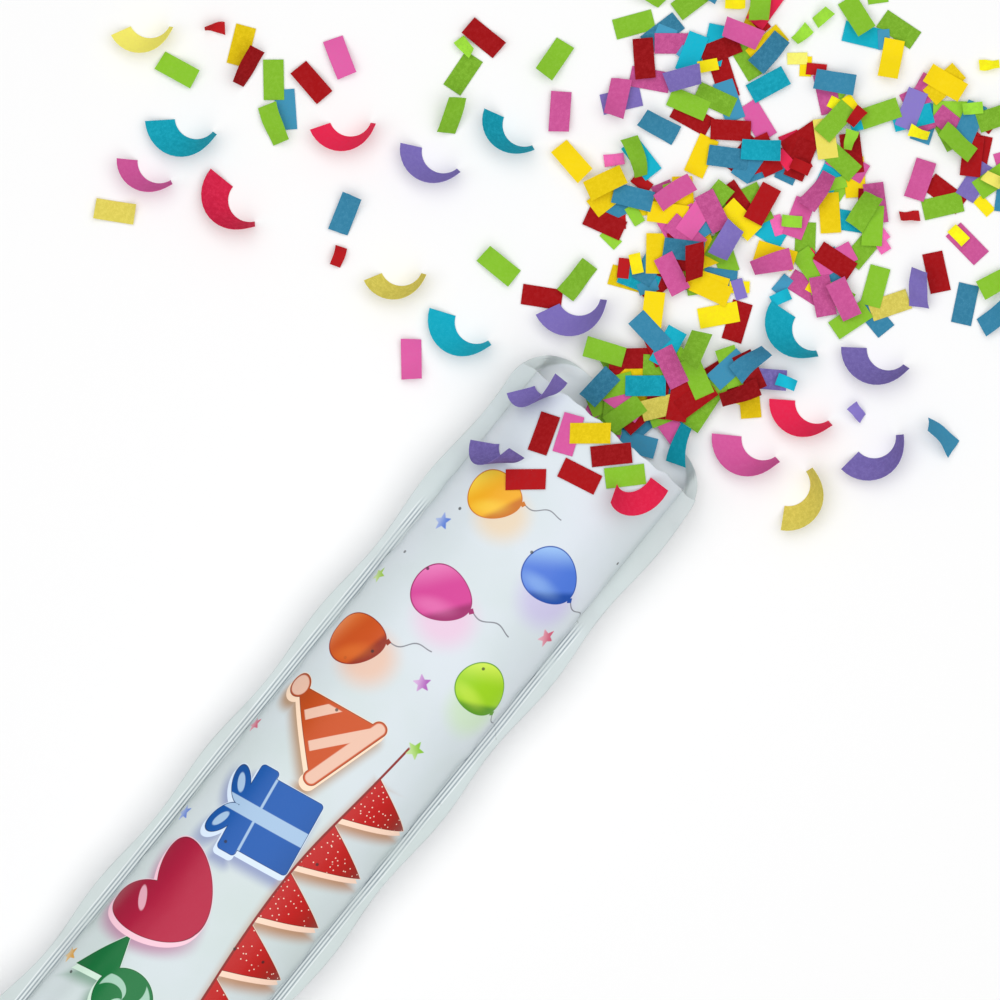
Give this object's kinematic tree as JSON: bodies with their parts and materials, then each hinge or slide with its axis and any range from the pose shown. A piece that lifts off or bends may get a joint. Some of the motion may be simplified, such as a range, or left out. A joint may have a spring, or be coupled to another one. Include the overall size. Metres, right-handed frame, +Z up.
{
  "type": "confetti popper",
  "caption": "Self-inflating film pouch popper, puffed up and burst open at one end, with an acid sachet and soda powder inside and coloured tissue confetti thrown from its mouth.",
  "frame": {"origin": "middle of the flat strip on the back film that the pouch lies on", "axes": "+X along the pouch towards its burst mouth, +Y towards the pouch's left side seen from the printed front with the mouth up, +Z up, out of the printed front"},
  "size_m": [0.4635, 0.3188, 0.0357],
  "materials": {
    "pouch_film": "gloss",
    "sachet_film": "gloss",
    "acid_solution": "gloss",
    "soda_powder": "matte",
    "tissue_dark_red": "matte",
    "tissue_rose": "matte",
    "tissue_pink": "matte",
    "tissue_lime": "matte",
    "tissue_yellow": "matte",
    "tissue_pale_yellow": "matte",
    "tissue_teal": "matte",
    "tissue_steel_blue": "matte",
    "tissue_purple": "matte"
  },
  "bodies": {
    "pouch": {"front_panel": "pouch_film", "back_panel": "pouch_film", "soda_powder": "soda_powder", "stray_dark_red": "tissue_dark_red", "stray_purple": "tissue_purple"},
    "front_lip": {"front_lip": "pouch_film", "lip_dark_red": "tissue_dark_red", "lip_pink": "tissue_pink", "lip_lime": "tissue_lime", "lip_yellow": "tissue_yellow", "lip_rose": "tissue_rose", "lip_purple": "tissue_purple"},
    "back_lip": {"back_lip": "pouch_film"},
    "sachet": {"sachet_upper_film": "sachet_film", "sachet_lower_film": "sachet_film", "acid_solution": "acid_solution"},
    "confetti": {"confetti_dark_red": "tissue_dark_red", "confetti_rose": "tissue_rose", "confetti_pink": "tissue_pink", "confetti_lime": "tissue_lime", "confetti_yellow": "tissue_yellow", "confetti_pale_yellow": "tissue_pale_yellow", "confetti_teal": "tissue_teal", "confetti_steel_blue": "tissue_steel_blue", "confetti_purple": "tissue_purple"}
  },
  "joints": [
    {"name": "front_lip_bend", "type": "hinge", "parent": "pouch", "child": "front_lip", "pos_m": [0.118, 0, 0.0311], "axis": [0, -1, 0], "range_deg": [0, 50], "stiffness_Nm_per_rad": 0.0005},
    {"name": "back_lip_bend", "type": "hinge", "parent": "pouch", "child": "back_lip", "pos_m": [0.118, 0, 0], "axis": [0, 1, 0], "range_deg": [0, 50], "stiffness_Nm_per_rad": 0.0005},
    {"name": "sachet_slide", "type": "slide", "parent": "pouch", "child": "sachet", "axis": [1, 0, 0], "range_m": [-0.018, 0.045]},
    {"name": "confetti_burst", "type": "slide", "parent": "pouch", "child": "confetti", "axis": [1, 0, 0], "range_m": [0, 0.12]}
  ]
}
